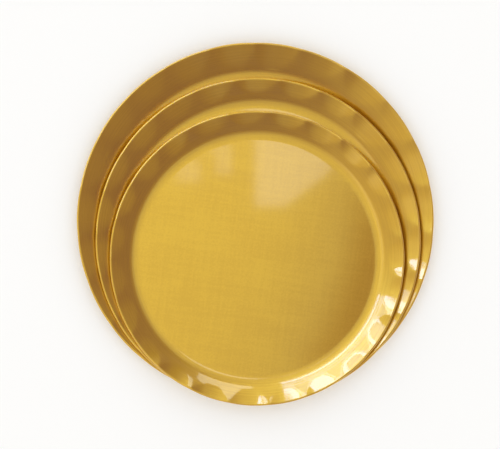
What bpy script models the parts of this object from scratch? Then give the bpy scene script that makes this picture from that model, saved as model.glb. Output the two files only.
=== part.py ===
"""Three fluted brass offering plates, 12, 11 and 10 inches across, lying one in another.

Each plate is one spun sheet: a flat floor, a broad fillet, and a flared lip, hammered into flutes over
its outer part, that ends in a thicker, rounded edge. The large plate stands on its floor. Each smaller
one is pushed to -Y in the plate below, where its floor rests at the far edge and its near side lies on
the rim below, which tilts it a little.

Metres, +Z up. The origin is the middle of the large plate's underside.
"""

import math
from collections import namedtuple

import bmesh
import bpy
from mathutils import Matrix, Vector

# The sheet and its bends, the same on all three plates. Bends are measured in the middle of the sheet.
SHEET = 0.0015
EDGE_THICKNESS = 0.0021
EDGE_TAPER = 0.004
FILLET_RADIUS = 0.0305
LIP_ANGLE = math.radians(20)

# The flutes deepen from the inside of the fluted band to the rim.
FLUTES = 23
FLUTE_DEPTH = 0.0005
SECOND_WAVE = 0.25

# A smaller plate keeps this far off the floor that it rests on.
GAP = 0.0003

# How finely the curves are divided.
SEGMENTS = 4 * FLUTES
FILLET_STEPS = 4
BAND_STEPS = 3
EDGE_STEPS = 4

# slide is the middle of the floor in the plate below, lean turns the raised side from -Y towards +X.
Plate = namedtuple(
    "Plate", "name rim_radius floor_radius band_width first_ridge slide lean tilt colour"
)
LARGE = Plate(
    name="large_plate",
    rim_radius=0.1524,
    floor_radius=0.1205,
    band_width=0.0172,
    first_ridge=math.radians(12),
    slide=(0, 0),
    lean=0,
    tilt=0,
    colour=(0.60, 0.39, 0.10),
)
MEDIUM = Plate(
    name="medium_plate",
    rim_radius=0.1387,
    floor_radius=0.1120,
    band_width=0.0115,
    first_ridge=math.radians(5),
    slide=(0.0024, -0.0165),
    lean=math.radians(25),
    tilt=math.radians(1.05),
    colour=(0.64, 0.42, 0.11),
)
SMALL = Plate(
    name="small_plate",
    rim_radius=0.1255,
    floor_radius=0.1000,
    band_width=0.0100,
    first_ridge=math.radians(8),
    slide=(-0.0009, -0.0152),
    lean=math.radians(20),
    tilt=math.radians(0.7),
    colour=(0.68, 0.45, 0.12),
)

# One place along the section: the middle of the sheet there, its slope, half its thickness, and how
# far the flutes have risen, from 0 at the inside of the fluted band to 1 at the rim.
Station = namedtuple("Station", "radius height slope half flute")


def clear_scene():
    for thing in list(bpy.data.objects):
        bpy.data.objects.remove(thing)


def band_station(plate, fillet_end, along):
    """The station at this share of the fluted band, where the sheet thickens towards the edge."""
    radius = plate.rim_radius - EDGE_THICKNESS / 2 - (1 - along) * plate.band_width
    to_edge = (1 - along) * plate.band_width
    thicker = max(0, 1 - to_edge / EDGE_TAPER)
    return Station(
        radius=radius,
        height=fillet_end.height + (radius - fillet_end.radius) * math.tan(LIP_ANGLE),
        slope=LIP_ANGLE,
        half=(SHEET + (EDGE_THICKNESS - SHEET) * thicker) / 2,
        flute=along,
    )


def section(plate):
    """Stations from the edge of the floor, up the fillet, and out along the lip to the rim."""
    stations = []
    for step in range(FILLET_STEPS + 1):
        slope = LIP_ANGLE * step / FILLET_STEPS
        radius = plate.floor_radius + FILLET_RADIUS * math.sin(slope)
        height = SHEET / 2 + FILLET_RADIUS * (1 - math.cos(slope))
        stations.append(Station(radius, height, slope, SHEET / 2, 0))
    fillet_end = stations[-1]
    for step in range(BAND_STEPS + 1):
        stations.append(band_station(plate, fillet_end, step / BAND_STEPS))
    return stations


def flute_wave(plate, angle):
    """The flutes' rise at this angle, at most 1: narrow ridges with broad hollows between them."""
    turn = FLUTES * (angle - plate.first_ridge)
    return (math.cos(turn) + SECOND_WAVE * math.cos(2 * turn)) / (1 + SECOND_WAVE)


def point_on(plate, station, across, outward, angle):
    """A point of the plate, this far across the sheet and this far outward along it."""
    across += FLUTE_DEPTH * station.flute * flute_wave(plate, angle)
    sine, cosine = math.sin(station.slope), math.cos(station.slope)
    radius = station.radius - across * sine + outward * cosine
    height = station.height + across * cosine + outward * sine
    return Vector((radius * math.cos(angle), radius * math.sin(angle), height))


def outline(plate):
    """The closed section without its floor: up the top face, round the edge, down the underside."""
    stations = section(plate)
    top = [(station, station.half, 0) for station in stations]
    underside = [(station, -station.half, 0) for station in reversed(stations)]
    rim = stations[-1]
    edge = []
    for step in range(1, EDGE_STEPS):
        turn = math.pi * step / EDGE_STEPS
        edge.append((rim, rim.half * math.cos(turn), rim.half * math.sin(turn)))
    return top + edge + underside


def plate_mesh(plate):
    shape = bmesh.new()
    rings = []
    for station, across, outward in outline(plate):
        ring = []
        for segment in range(SEGMENTS):
            angle = plate.first_ridge + math.tau * segment / SEGMENTS
            ring.append(shape.verts.new(point_on(plate, station, across, outward, angle)))
        rings.append(ring)
    for inner, outer in zip(rings, rings[1:]):
        for left in range(SEGMENTS):
            right = (left + 1) % SEGMENTS
            shape.faces.new((inner[left], outer[left], outer[right], inner[right]))
    shape.faces.new(rings[0])
    shape.faces.new(reversed(rings[-1]))
    mesh = bpy.data.meshes.new(plate.name)
    shape.to_mesh(mesh)
    shape.free()
    mesh.shade_smooth()
    mesh.set_sharp_from_angle(angle=math.radians(40))
    return mesh


def brass(plate):
    material = bpy.data.materials.new(plate.name + "_brass")
    material.use_nodes = True
    shader = material.node_tree.nodes["Principled BSDF"]
    shader.inputs["Base Color"].default_value = (*plate.colour, 1)
    shader.inputs["Metallic"].default_value = 1
    shader.inputs["Roughness"].default_value = 0.32
    return material


def add_plate(plate, below):
    """The plate as an object, set down in the plate below it, or on the ground."""
    thing = bpy.data.objects.new(plate.name, plate_mesh(plate))
    bpy.context.scene.collection.objects.link(thing)
    thing.data.materials.append(brass(plate))
    if below:
        thing.parent = below
        lift = SHEET + GAP + plate.floor_radius * math.sin(plate.tilt)
        turn = Matrix.Rotation(plate.lean, 4, "Z")
        tip = Matrix.Rotation(-plate.tilt, 4, "X")
        place = Matrix.Translation((*plate.slide, lift))
        thing.matrix_local = place @ turn @ tip @ turn.inverted()
    return thing


def build():
    clear_scene()
    large = add_plate(LARGE, None)
    medium = add_plate(MEDIUM, large)
    add_plate(SMALL, medium)


build()
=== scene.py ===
"""The looks of three fluted brass offering plates, 12, 11 and 10 inches across, lying one in another.

Each CAD plate is replaced by a fine mesh of the same section, whose lip is hammered into hollows and
keeps its spun rings. The brass is satin brushed and lacquered. Metres, +Z up.
"""

import math
from collections import namedtuple
from functools import reduce

import bpy
import numpy as np
from mathutils import Matrix, Vector


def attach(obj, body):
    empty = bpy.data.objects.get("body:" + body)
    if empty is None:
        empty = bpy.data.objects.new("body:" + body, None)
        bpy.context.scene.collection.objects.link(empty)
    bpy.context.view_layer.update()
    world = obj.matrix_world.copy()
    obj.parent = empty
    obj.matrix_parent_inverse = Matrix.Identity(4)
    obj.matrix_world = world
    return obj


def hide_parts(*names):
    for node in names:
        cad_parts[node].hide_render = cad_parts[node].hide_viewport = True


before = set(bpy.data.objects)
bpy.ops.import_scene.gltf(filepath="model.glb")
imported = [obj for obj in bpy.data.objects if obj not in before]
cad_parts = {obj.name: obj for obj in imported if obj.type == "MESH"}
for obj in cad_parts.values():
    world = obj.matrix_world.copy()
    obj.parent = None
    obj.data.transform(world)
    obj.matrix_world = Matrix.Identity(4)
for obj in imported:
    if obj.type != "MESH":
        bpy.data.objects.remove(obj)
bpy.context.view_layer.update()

# The flutes, the sheet and its bends, as in the CAD. Bends are measured in the middle of the sheet.
FLUTES = 23
SHEET = 0.0015
EDGE_THICKNESS = 0.0021
EDGE_TAPER = 0.004
FILLET_RADIUS = 0.0305
LIP_ANGLE = math.radians(20)

# How finely the meshes are divided. One flat face closes each side of the floor inside HUB_RADIUS.
STEPS_PER_FLUTE = 24
FINE_STEP = 0.0006
COARSE_STEP = 0.0016
FLOOR_STEP = 0.008
HUB_RADIUS = 0.006
EDGE_STEPS = 8

# The hammered hollows, and the slight ridges between them: their depth and height at the rim. Places
# across the fluted band run from 0 inside to 1 at the rim. A hollow starts at HOLLOW_START in its
# middle and later, by up to HOLLOW_ARCH, beside a ridge: the higher the power, the squarer the arch.
# Its start is eased over HOLLOW_SOFTNESS and is never before EARLIEST_START. Nothing is hammered
# inside HOLLOW_REACH, and past it the hollows fade in over HOLLOW_FADE.
HOLLOW_DEPTH = 0.00062
RIDGE_RISE = 0.0003
HOLLOW_START = -0.05
HOLLOW_ARCH = 0.95
HOLLOW_ARCH_POWER = 2.5
HOLLOW_SOFTNESS = 0.14
HOLLOW_REACH = -0.3
HOLLOW_FADE = 0.2
EARLIEST_START = HOLLOW_REACH + 0.05

# How the hollows differ round a plate: waves as height, number per turn, and phase per seed.
WANDER = ((0.025 / 3, 3, 1), (0.02 / 3, 7, 2))
UNEVEN_START = ((0.12, 5, 3), (0.09, 11, 1))
UNEVEN_DEPTH = ((0.18, 4, 1), (0.12, 9, 5))

# The rings left by spinning. They rise to full height over RING_FADE from the floor's edge, vary with
# a longer wave, and bow towards the floor where a hollow pushed them. The underside keeps a share.
RING_PITCH = 0.0021
RING_HEIGHT = 0.000006
RING_BOW = 1.6
RING_FADE = 0.012
RING_UNEVEN = 0.3
RING_UNEVEN_LENGTH = 0.0031
UNDERSIDE_RINGS = 0.6

# The sizes are as in the CAD. The seed sets how a plate's hollows and brushing differ from the others.
Plate = namedtuple("Plate", "node body rim_radius floor_radius band_width first_ridge seed")
PLATES = [
    Plate("large_plate", "large", 0.1524, 0.1205, 0.0172, math.radians(12), 1.0),
    Plate("medium_plate", "medium", 0.1387, 0.1120, 0.0115, math.radians(5), 2.3),
    Plate("small_plate", "small", 0.1255, 0.1000, 0.0100, math.radians(8), 4.1),
]

# One place along the section: the middle of the sheet there, its slope and thickness, its place
# across the fluted band, and how far along the section it lies from the floor's edge.
Station = namedtuple("Station", "radius height slope thickness flute travel")


def smooth(value):
    """0 below 0, 1 above 1, and a smooth climb between."""
    value = np.clip(value, 0, 1)
    return value * value * (3 - 2 * value)


# ---------------------------------------------------------------- the section of a plate


def spread(start, end, step):
    """Values from start to end, both included, at most step apart."""
    return np.linspace(start, end, max(1, math.ceil((end - start) / step)) + 1)


def section(plate, step):
    """Stations from the floor's edge, up the fillet, and out along the lip to the rim."""
    stations = []
    for slope in spread(0, LIP_ANGLE, step / FILLET_RADIUS):
        radius = plate.floor_radius + FILLET_RADIUS * math.sin(slope)
        height = SHEET / 2 + FILLET_RADIUS * (1 - math.cos(slope))
        stations.append(Station(radius, height, slope, SHEET, HOLLOW_REACH, 0))
    bend = stations[-1]
    rim_radius = plate.rim_radius - EDGE_THICKNESS / 2
    for radius in spread(bend.radius, rim_radius, step * math.cos(LIP_ANGLE))[1:]:
        to_rim = rim_radius - radius
        height = bend.height + (radius - bend.radius) * math.tan(LIP_ANGLE)
        thickness = SHEET + (EDGE_THICKNESS - SHEET) * max(0, 1 - to_rim / EDGE_TAPER)
        flute = max(HOLLOW_REACH, 1 - to_rim / plate.band_width)
        stations.append(Station(radius, height, LIP_ANGLE, thickness, flute, 0))
    return with_travel(stations)


def with_travel(stations):
    """The same stations, each with the distance along the section from the floor's edge."""
    travelled = 0
    measured = [stations[0]]
    for before, after in zip(stations, stations[1:]):
        travelled += math.hypot(after.radius - before.radius, after.height - before.height)
        measured.append(after._replace(travel=travelled))
    return measured


def outline(plate):
    """The closed section: hub to rim on top, round the edge, and back to the hub underneath.

    Each point is its station, how far it lies across and along the sheet, and how much of the
    spun rings it keeps. The top stays straight, and the thicker edge bulges underneath.
    """
    floor = [
        Station(radius, SHEET / 2, 0, SHEET, HOLLOW_REACH, 0)
        for radius in spread(HUB_RADIUS, plate.floor_radius, FLOOR_STEP)[:-1]
    ]
    upper = floor + section(plate, FINE_STEP)
    lower = floor + section(plate, COARSE_STEP)
    points = [(station, SHEET / 2, 0, 1) for station in upper]
    rim, bulge = upper[-1], upper[-1].thickness / 2
    for step in range(1, EDGE_STEPS):
        turn = math.pi * step / EDGE_STEPS
        points.append((rim, SHEET / 2 - bulge + bulge * math.cos(turn), bulge * math.sin(turn), 0))
    for station in reversed(lower):
        points.append((station, SHEET / 2 - station.thickness, 0, UNDERSIDE_RINGS))
    return points


# ---------------------------------------------------------------- hammering and spinning marks


def ripple(plate, angle, waves):
    """The sum of these waves round the plate."""
    return sum(height * np.sin(count * angle + phase * plate.seed) for height, count, phase in waves)


def hollow_at(plate, flute, angle):
    """How deep the hammered hollows are here, from 0 outside them to about 1 in one at the rim."""
    turn = FLUTES * (angle + ripple(plate, angle, WANDER) - plate.first_ridge) / math.tau
    aside = np.abs(2 * (turn - np.floor(turn)) - 1)
    start = HOLLOW_START + ripple(plate, angle, UNEVEN_START) + HOLLOW_ARCH * aside**HOLLOW_ARCH_POWER
    past = flute - np.clip(start, EARLIEST_START, 1)
    eased = (past + np.sqrt(past**2 + HOLLOW_SOFTNESS**2)) / 2
    return smooth((flute - HOLLOW_REACH) / HOLLOW_FADE) * eased / (1 - HOLLOW_START)


def hammered(plate, flute, angle):
    """How far the hammering moves the sheet across itself: down in a hollow, up along a ridge."""
    ridge = 0.5 + 0.5 * np.cos(FLUTES * (angle - plate.first_ridge))
    rise = RIDGE_RISE * np.clip(flute, 0, 1) * ridge**2
    strength = 1 + ripple(plate, angle, UNEVEN_DEPTH)
    return strength * (rise - HOLLOW_DEPTH * hollow_at(plate, flute, angle))


def spun_rings(plate, flute, travel, angle):
    """The height of the spun rings, which fade out on the flat floor."""
    bowed = travel / RING_PITCH + RING_BOW * hollow_at(plate, flute, angle)
    uneven = 1 - RING_UNEVEN + RING_UNEVEN * np.sin(travel / RING_UNEVEN_LENGTH + plate.seed)
    return RING_HEIGHT * smooth(travel / RING_FADE) * uneven * np.sin(math.tau * bowed)


def plate_points(plate):
    """The points of the whole plate in its own frame, one row for each point of the outline."""
    points = outline(plate)
    stations = [point[0] for point in points]
    radius, height, slope, _, flute, travel = (
        np.array([getattr(station, name) for station in stations])[:, None]
        for name in Station._fields
    )
    across, outward, rings = (np.array([point[i] for point in points])[:, None] for i in (1, 2, 3))
    segments = FLUTES * STEPS_PER_FLUTE
    angle = plate.first_ridge + math.tau * np.arange(segments)[None, :] / segments
    across = across + hammered(plate, flute, angle)
    across = across + rings * spun_rings(plate, flute, travel, angle)
    radius = radius - across * np.sin(slope) + outward * np.cos(slope)
    height = height + across * np.cos(slope) + outward * np.sin(slope)
    return np.stack([radius * np.cos(angle), radius * np.sin(angle), height], axis=-1)


def plate_mesh(plate):
    points = plate_points(plate)
    rows, segments = points.shape[:2]
    index = np.arange(rows * segments).reshape(rows, segments)
    following = np.roll(index, -1, axis=1)
    quads = np.stack([index[:-1], index[1:], following[1:], following[:-1]], axis=-1)
    hubs = [index[0].tolist(), index[-1][::-1].tolist()]
    mesh = bpy.data.meshes.new(plate.body + "_brass_plate")
    mesh.from_pydata(points.reshape(-1, 3), [], quads.reshape(-1, 4).tolist() + hubs)
    mesh.shade_smooth()
    return mesh


def resting_place(node):
    """The plate's own frame, from its CAD mesh: the middle of its underside, and its axis as +Z."""
    points = np.array([vertex.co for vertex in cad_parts[node].data.vertices])
    points = np.unique(np.round(points, 6), axis=0)
    middle = points.mean(axis=0)
    axis = np.linalg.eigh(np.cov((points - middle).T))[1][:, 0]
    axis = axis if axis[2] > 0 else -axis
    lowest = ((points - middle) @ axis).min()
    upright = Vector((0, 0, 1)).rotation_difference(Vector(axis)).to_matrix().to_4x4()
    return Matrix.Translation(middle + lowest * axis) @ upright


# ---------------------------------------------------------------- node trees


class Nodes:
    """A short way to write a node tree: each call makes a node and returns its output."""

    def __init__(self, tree):
        self.tree = tree

    def add(self, kind, output=0, settings=None, **inputs):
        """A node whose inputs are given by name, or as i0, i1 and so on by number."""
        node = self.tree.nodes.new(kind)
        for name, value in (settings or {}).items():
            setattr(node, name, value)
        for name, value in inputs.items():
            socket = node.inputs[int(name[1:])] if name[0] == "i" else node.inputs[name]
            self.put(value, socket)
        return node.outputs[output]

    def put(self, value, socket):
        """Link an output to this socket, or set its value."""
        if isinstance(value, bpy.types.NodeSocket):
            self.tree.links.new(value, socket)
        else:
            socket.default_value = value

    def place(self):
        """The place on the object, in its own frame."""
        return self.add("ShaderNodeTexCoord", output=3)

    def split(self, vector):
        """The three coordinates of a vector."""
        return self.add("ShaderNodeSeparateXYZ", i0=vector).node.outputs

    def math(self, operation, first, second=0.0):
        return self.add("ShaderNodeMath", settings={"operation": operation}, i0=first, i1=second)

    def times(self, first, second):
        return self.math("MULTIPLY", first, second)

    def total(self, values, shares):
        """The sum of the values, each times its share."""
        parts = [self.times(value, share) for value, share in zip(values, shares)]
        return reduce(lambda total, part: self.math("ADD", total, part), parts)

    def noise(self, vector, detail, roughness=0.5, scale=1.0):
        """Noise between 0 and 1. Detail is its number of finer layers, roughness their strength."""
        inputs = {"Vector": vector, "Scale": scale, "Detail": detail, "Roughness": roughness}
        return self.add("ShaderNodeTexNoise", settings={"normalize": True}, **inputs)

    def stretched(self, vector, scale, rotation):
        """The vector turned first, then scaled along its new axes."""
        inputs = {"Vector": vector, "Rotation": (0, 0, rotation), "Scale": [1 / s for s in scale]}
        return self.add("ShaderNodeMapping", settings={"vector_type": "TEXTURE"}, **inputs)

    def ramp(self, value, reach, ends=(0.0, 1.0)):
        """A smooth climb from the first end to the second while the value crosses its reach."""
        inputs = {"From Min": reach[0], "From Max": reach[1], "To Min": ends[0], "To Max": ends[1]}
        settings = {"interpolation_type": "SMOOTHSTEP"}
        return self.add("ShaderNodeMapRange", settings=settings, Value=value, **inputs)

    def mix(self, factor, first, second):
        """A mix of two colours."""
        settings = {"data_type": "RGBA"}
        return self.add("ShaderNodeMix", 2, settings, i0=factor, i6=first, i7=second)

    def blend(self, factor, first, second):
        """A mix of two numbers."""
        settings = {"data_type": "FLOAT"}
        return self.add("ShaderNodeMix", 0, settings, i0=factor, i2=first, i3=second)


# ---------------------------------------------------------------- brass

BRASS_LIGHT = (0.90, 0.565, 0.05, 1)
BRASS_DARK = (0.83, 0.50, 0.04, 1)
BRASS_SHADE = (0.74, 0.44, 0.05, 1)
# Painted light: a paler colour for the underside, which lightens the gaps between the plates.
BRASS_UNDER_PAINTED_LIGHT = (0.92, 0.66, 0.24, 1)

# Patterns, as noise cells per metre, or per radian round the plate. Brushing strokes are long one way
# and fine the other. A finish is the detail and roughness of its noise.
BRUSHING_TILT = math.radians(-8.5)
STROKES_ACROSS = (20, 280, 1)
STROKES_ALONG = (280, 20, 1)
STROKE_FINISH = (4.0, 0.7)
STREAKS = (12, 45, 1)
STREAK_FINISH = (3.0, 0.55)
GRAIN = 600.0
CLOUDS = 24.0
RINGS_OUTWARD = 900.0
RINGS_ROUND = 2.0
RING_FINISH = (2.0, 0.6)

# What each pattern adds: strokes each way and grain to the brushing, and brushing, streaks and clouds
# to the tone.
BRUSHING_SHARES = (0.34, 0.34, 0.32)
TONE_SHARES = (0.68, 0.17, 0.15)

# Where the ring brushing of the wall sets in, from the floor's edge, and how strong it is there.
WALL_REACH = (-0.002, 0.010)
WALL_BRUSHING = 0.8

# The part of each noise that makes a difference, and what it changes: the tone, the stain on the wall,
# and the roughness, whose values are for the two ends of BRUSHING_REACH.
TONE_REACH = (0.415, 0.585)
STAIN_REACH = (0.35, 0.75)
STAIN = 0.22
BRUSHING_REACH = (0.3, 0.7)
FLOOR_ROUGHNESS = (0.35, 0.29)
WALL_ROUGHNESS = (0.36, 0.30)
BUMP_STRENGTH = 0.05
BUMP_DISTANCE = 0.00005
LACQUER_ROUGHNESS = 0.05
LACQUER_IOR = 2.0

# The underside is duller, and painted paler: the pale colour is painted light, which lightens the
# gaps between the plates, where the underside shows in the brass below. This look sets in, and is
# full, as the upward part of a surface's normal falls through UNDER_REACH.
UNDER_REACH = (0.1, -0.5)
UNDER_METALLIC = 0.35
UNDER_ROUGHNESS = 0.5


def crossed_brushing(nodes, place):
    """The satin floor: fine strokes in two crossed directions, and grain."""
    weft = nodes.noise(nodes.stretched(place, STROKES_ACROSS, BRUSHING_TILT), *STROKE_FINISH)
    warp = nodes.noise(nodes.stretched(place, STROKES_ALONG, BRUSHING_TILT), *STROKE_FINISH)
    grain = nodes.noise(place, 1.0, scale=GRAIN)
    return nodes.total((weft, warp, grain), BRUSHING_SHARES)


def ring_brushing(nodes, x, y, radius, seed):
    """Strokes that run round the plate."""
    outward = nodes.times(radius, RINGS_OUTWARD)
    turn = nodes.times(nodes.math("ARCTAN2", y, x), RINGS_ROUND)
    rings = nodes.add("ShaderNodeCombineXYZ", i0=outward, i1=turn, i2=seed)
    return nodes.noise(rings, *RING_FINISH)


def brass(plate):
    """Satin brass under clear lacquer: crossed brushing on the floor, ring brushing on the wall."""
    material = bpy.data.materials.new(plate.node + "_brass")
    material.use_nodes = True
    shader = material.node_tree.nodes["Principled BSDF"]
    nodes = Nodes(material.node_tree)
    place = nodes.place()
    x, y, _ = nodes.split(place)
    radius = nodes.math("SQRT", nodes.math("ADD", nodes.times(x, x), nodes.times(y, y)))
    on_wall = nodes.ramp(radius, [plate.floor_radius + past for past in WALL_REACH])
    rings = ring_brushing(nodes, x, y, radius, plate.seed)
    brushing = nodes.blend(nodes.times(on_wall, WALL_BRUSHING), crossed_brushing(nodes, place), rings)

    streaks = nodes.noise(nodes.stretched(place, STREAKS, BRUSHING_TILT), *STREAK_FINISH)
    clouds = nodes.noise(place, 3.0, scale=CLOUDS)
    tone = nodes.total((brushing, streaks, clouds), TONE_SHARES)
    colour = nodes.mix(nodes.ramp(tone, TONE_REACH), BRASS_DARK, BRASS_LIGHT)
    stain = nodes.times(on_wall, nodes.ramp(clouds, STAIN_REACH, (0.0, STAIN)))
    colour = nodes.mix(stain, colour, BRASS_SHADE)
    facing_up = nodes.split(nodes.add("ShaderNodeNewGeometry", output="Normal"))[2]
    under = nodes.ramp(facing_up, UNDER_REACH)
    # Painted light: the underside is painted paler, which lightens the gaps between the plates.
    nodes.put(nodes.mix(under, colour, BRASS_UNDER_PAINTED_LIGHT), shader.inputs["Base Color"])
    nodes.put(nodes.ramp(under, (0.0, 1.0), (1.0, UNDER_METALLIC)), shader.inputs["Metallic"])

    floor_roughness = nodes.ramp(brushing, BRUSHING_REACH, FLOOR_ROUGHNESS)
    wall_roughness = nodes.ramp(rings, BRUSHING_REACH, WALL_ROUGHNESS)
    roughness = nodes.blend(on_wall, floor_roughness, wall_roughness)
    nodes.put(nodes.blend(under, roughness, UNDER_ROUGHNESS), shader.inputs["Roughness"])

    bump = {"Strength": BUMP_STRENGTH, "Distance": BUMP_DISTANCE, "Height": brushing}
    nodes.put(nodes.add("ShaderNodeBump", **bump), shader.inputs["Normal"])
    shader.inputs["Coat Weight"].default_value = 1
    shader.inputs["Coat Roughness"].default_value = LACQUER_ROUGHNESS
    shader.inputs["Coat IOR"].default_value = LACQUER_IOR
    return material


# ---------------------------------------------------------------- the plates


def link(thing):
    """Put an object in the scene, and return it."""
    bpy.context.scene.collection.objects.link(thing)
    return thing


def add_plate(plate):
    piece = link(bpy.data.objects.new(plate.body + "_brass_plate", plate_mesh(plate)))
    piece.data.materials.append(brass(plate))
    piece.matrix_world = resting_place(plate.node)
    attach(piece, plate.body)
    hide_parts(plate.node)


# ---------------------------------------------------------------- the studio

STAGE_RADIUS = 6.0
STAGE_SIDES = 64
STAGE_COLOUR = (0.94, 0.94, 0.93, 1)
STAGE_ROUGHNESS = 0.9

# The cards hang overhead at this height, except the shade, which hangs lower.
CARD_HEIGHT = 2.0

# Three window panes over the far side: their corners and brightness.
PANE_TOP = 0.315
PANE_COLOUR = (1, 1, 0.8)
PANES = {
    "wide_pane": (
        [(-0.048, PANE_TOP), (-0.048, 0.141), (0.012, 0.141), (0.102, 0.211), (0.112, PANE_TOP)],
        1.7,
    ),
    "middle_pane": (
        [(-0.128, PANE_TOP), (-0.128, 0.2045), (-0.094, 0.2045), (-0.094, PANE_TOP)],
        1.25,
    ),
    "left_pane": (
        [(-0.214, PANE_TOP), (-0.214, 0.1905), (-0.158, 0.1905), (-0.158, PANE_TOP)],
        1.25,
    ),
}

# A dim canopy over the +X side: its corners and glow. It is clear up to the first distance of
# SHADE_REACH from SHADE_CENTRE, and full from the second.
SHADE_HEIGHT = 0.5
SHADE_CORNERS = [(-0.06, -0.23), (0.28, -0.23), (0.28, 0.17), (-0.06, 0.17)]
SHADE_COLOUR = (0.26, 0.15, 0.18)
SHADE_BRIGHTNESS = 0.9
SHADE_CENTRE = (-0.33, 0.08)
SHADE_REACH = (0.41, 0.46)

# Cards that are pieces of a ring round the plates: the turns they cover in degrees, their near and
# far edges, colour and brightness. The slats are one bright window, seen in the lips.
SECTOR_STEPS = 12
WINDOW_TURNS = (103, 162)
WINDOW_COLOUR = (0.80, 0.98, 1.45)
SECTORS = {
    "window_slat_0": (WINDOW_TURNS, 0.94, 1.06, WINDOW_COLOUR, 1.7),
    "window_slat_1": (WINDOW_TURNS, 1.08, 1.23, WINDOW_COLOUR, 4.0),
    "window_slat_2": (WINDOW_TURNS, 1.26, 1.41, WINDOW_COLOUR, 2.2),
    "window_slat_3": (WINDOW_TURNS, 1.44, 1.66, WINDOW_COLOUR, 1.2),
    "window_slat_4": (WINDOW_TURNS, 1.80, 3.00, WINDOW_COLOUR, 2.0),
    "far_window": ((66, 90), 1.25, 1.87, (0.95, 1, 0.9), 1.8),
    "warm_side": ((-26, 20), 1.0, 1.35, (0.76, 0.53, 0.34), 1.0),
    "dark_corner": ((38, 62), 0.88, 1.26, (0.16, 0.09, 0.12), 1.0),
}

# A soft light from the window's side. Its brightness is its radiance.
KEY_TURN = math.radians(132)
KEY_CLIMB = math.radians(60)
KEY_DISTANCE = 2.6
KEY_TARGET = (0, 0, 0.02)
KEY_SIZE = 1.0
KEY_BRIGHTNESS = 0.3


def add_stage():
    """A plain pale floor that the large plate stands on."""
    mesh = bpy.data.meshes.new("stage_floor")
    turns = [math.tau * side / STAGE_SIDES for side in range(STAGE_SIDES)]
    corners = [(STAGE_RADIUS * math.cos(turn), STAGE_RADIUS * math.sin(turn), 0) for turn in turns]
    mesh.from_pydata(corners, [], [list(range(STAGE_SIDES))])
    material = bpy.data.materials.new("pale_floor")
    material.use_nodes = True
    shader = material.node_tree.nodes["Principled BSDF"]
    shader.inputs["Base Color"].default_value = STAGE_COLOUR
    shader.inputs["Roughness"].default_value = STAGE_ROUGHNESS
    mesh.materials.append(material)
    link(bpy.data.objects.new("stage_floor", mesh))


def aim(thing, place, target):
    thing.location = place
    thing.rotation_euler = (Vector(target) - Vector(place)).to_track_quat("-Z", "Y").to_euler()


def fading_in(nodes, glow):
    """The shade's glow, which fades in along a curved edge."""
    centre = (*SHADE_CENTRE, SHADE_HEIGHT)
    settings = {"operation": "DISTANCE"}
    distance = nodes.add("ShaderNodeVectorMath", 1, settings, i0=nodes.place(), i1=centre)
    clear = nodes.add("ShaderNodeBsdfTransparent")
    return nodes.add("ShaderNodeMixShader", i0=nodes.ramp(distance, SHADE_REACH), i1=clear, i2=glow)


def add_card(name, height, corners, colour, brightness, fade=None):
    """A flat glowing card overhead, which shows in the brass only and doesn't light the floor.

    A fade makes from its nodes and its glow what the card shows instead of the plain glow.
    """
    material = bpy.data.materials.new(name)
    material.use_nodes = True
    nodes = Nodes(material.node_tree)
    nodes.tree.nodes.clear()
    glow = nodes.add("ShaderNodeEmission", Color=(*colour, 1), Strength=brightness)
    surface = fade(nodes, glow) if fade else glow
    nodes.put(surface, nodes.tree.nodes.new("ShaderNodeOutputMaterial").inputs["Surface"])
    mesh = bpy.data.meshes.new(name)
    mesh.from_pydata([(x, y, height) for x, y in corners], [], [list(range(len(corners)))])
    mesh.materials.append(material)
    card = link(bpy.data.objects.new(name, mesh))
    card.visible_camera = False
    card.visible_diffuse = False


def sector(turns, near, far):
    """The corners of a piece of a ring between two turns in degrees."""
    start, end = turns
    degrees = [start + (end - start) * step / SECTOR_STEPS for step in range(SECTOR_STEPS + 1)]
    angles = [math.radians(turn) for turn in degrees]
    inner = [(near * math.cos(angle), near * math.sin(angle)) for angle in angles]
    outer = [(far * math.cos(angle), far * math.sin(angle)) for angle in reversed(angles)]
    return inner + outer


def add_cards():
    for name, (corners, brightness) in PANES.items():
        add_card(name, CARD_HEIGHT, corners, PANE_COLOUR, brightness)
    add_card("shade", SHADE_HEIGHT, SHADE_CORNERS, SHADE_COLOUR, SHADE_BRIGHTNESS, fade=fading_in)
    for name, (turns, near, far, colour, brightness) in SECTORS.items():
        add_card(name, CARD_HEIGHT, sector(turns, near, far), colour, brightness)


def add_key_panel():
    light = bpy.data.lights.new("key_panel", "AREA")
    light.shape = "RECTANGLE"
    light.size = light.size_y = KEY_SIZE
    light.energy = KEY_BRIGHTNESS * math.pi * KEY_SIZE**2
    panel = link(bpy.data.objects.new("key_panel", light))
    flat = KEY_DISTANCE * math.cos(KEY_CLIMB)
    place = (flat * math.cos(KEY_TURN), flat * math.sin(KEY_TURN), KEY_DISTANCE * math.sin(KEY_CLIMB))
    aim(panel, place, KEY_TARGET)
    panel.visible_camera = False


# ---------------------------------------------------------------- the room

# The glow of the room by direction, seen in the brass: pale low down, dim higher up, and bright
# overhead. Towards the window it is brighter and warmer, and one side has a bright glow of its own
# high up. STUDIO_GLOW is all that dull surfaces get of it, and BACKDROP all that the camera sees.
LOW_GLOW = (0.86, 0.76, 0.52, 1)
WINDOW_LOW_GLOW = (0.98, 0.88, 0.62, 1)
DIM_GLOW = (0.22, 0.145, 0.20, 1)
WINDOW_SIDE_GLOW = (0.50, 0.42, 0.28, 1)
SIDE_GLOW = (1.80, 1.58, 0.90, 1)
OVERHEAD_GLOW = (0.80, 0.755, 0.38, 1)
STUDIO_GLOW = (1.06, 1.06, 1.07, 1)
BACKDROP = (0.96, 0.96, 0.95, 1)

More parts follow.
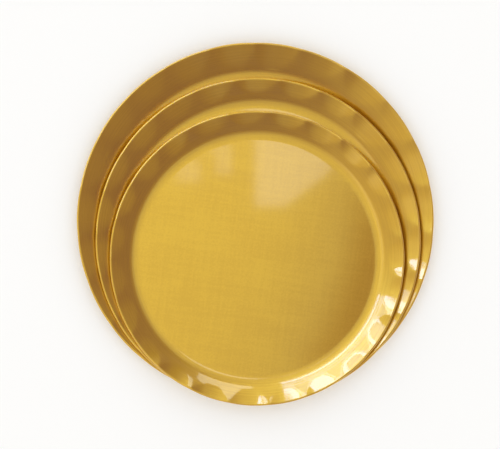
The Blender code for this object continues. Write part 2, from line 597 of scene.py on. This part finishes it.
# Where each glow sets in and is full: as the cosine of the turn away from a side, or as the sine of
# the climb from the floor.
WINDOW_TURN = math.radians(157)
WINDOW_REACH = (0.0, 0.35)
WINDOW_LOW_REACH = (0.2, 0.9)
SIDE_TURN = math.radians(195)
SIDE_REACH = (0.75, 0.97)
SIDE_CLIMB = (0.85, 0.915)
DIM_CLIMB = (0.45, 0.65)
OVERHEAD_CLIMB = (0.845, 0.965)


def add_room():
    world = bpy.data.worlds.new("room")
    bpy.context.scene.world = world
    world.use_nodes = True
    nodes = Nodes(world.node_tree)
    x, y, climb = nodes.split(nodes.add("ShaderNodeTexCoord", output=0))
    turn = nodes.math("ARCTAN2", y, x)
    to_window = nodes.math("COSINE", nodes.math("SUBTRACT", turn, WINDOW_TURN))
    to_side = nodes.math("COSINE", nodes.math("SUBTRACT", turn, SIDE_TURN))

    glow = nodes.mix(nodes.ramp(to_window, WINDOW_REACH), DIM_GLOW, WINDOW_SIDE_GLOW)
    on_side = nodes.times(nodes.ramp(to_side, SIDE_REACH), nodes.ramp(climb, SIDE_CLIMB))
    glow = nodes.mix(on_side, glow, SIDE_GLOW)
    low = nodes.mix(nodes.ramp(to_window, WINDOW_LOW_REACH), LOW_GLOW, WINDOW_LOW_GLOW)
    glow = nodes.mix(nodes.ramp(climb, DIM_CLIMB), low, glow)
    glow = nodes.mix(nodes.ramp(climb, OVERHEAD_CLIMB), glow, OVERHEAD_GLOW)
    glow = nodes.mix(nodes.add("ShaderNodeLightPath", "Is Diffuse Ray"), glow, STUDIO_GLOW)
    glow = nodes.mix(nodes.add("ShaderNodeLightPath", "Is Camera Ray"), glow, BACKDROP)
    nodes.put(glow, nodes.tree.nodes["Background"].inputs["Color"])


# ---------------------------------------------------------------- the camera

# Straight above the large plate. VIEW_WIDTH is the width seen at the height of its rim. The plate lies
# a little right of and above the picture's middle, by these shares of the picture's width.
CAMERA_HEIGHT = 1.5
RIM_HEIGHT = 0.0105
VIEW_WIDTH = 0.42735
SENSOR_WIDTH = 36.0
PICTURE_SHIFT = (0.0106, 0.007)


def add_camera():
    camera = bpy.data.cameras.new("camera")
    camera.sensor_width = SENSOR_WIDTH
    camera.lens = SENSOR_WIDTH * (CAMERA_HEIGHT - RIM_HEIGHT) / VIEW_WIDTH
    camera.shift_x = -PICTURE_SHIFT[0]
    camera.shift_y = -PICTURE_SHIFT[1]
    thing = link(bpy.data.objects.new("camera", camera))
    aim(thing, (0, 0, CAMERA_HEIGHT), (0, 0, 0))
    bpy.context.scene.camera = thing


for plate in PLATES:
    add_plate(plate)
add_stage()
add_cards()
add_key_panel()
add_room()
add_camera()
bpy.context.scene.view_settings.view_transform = "Standard"
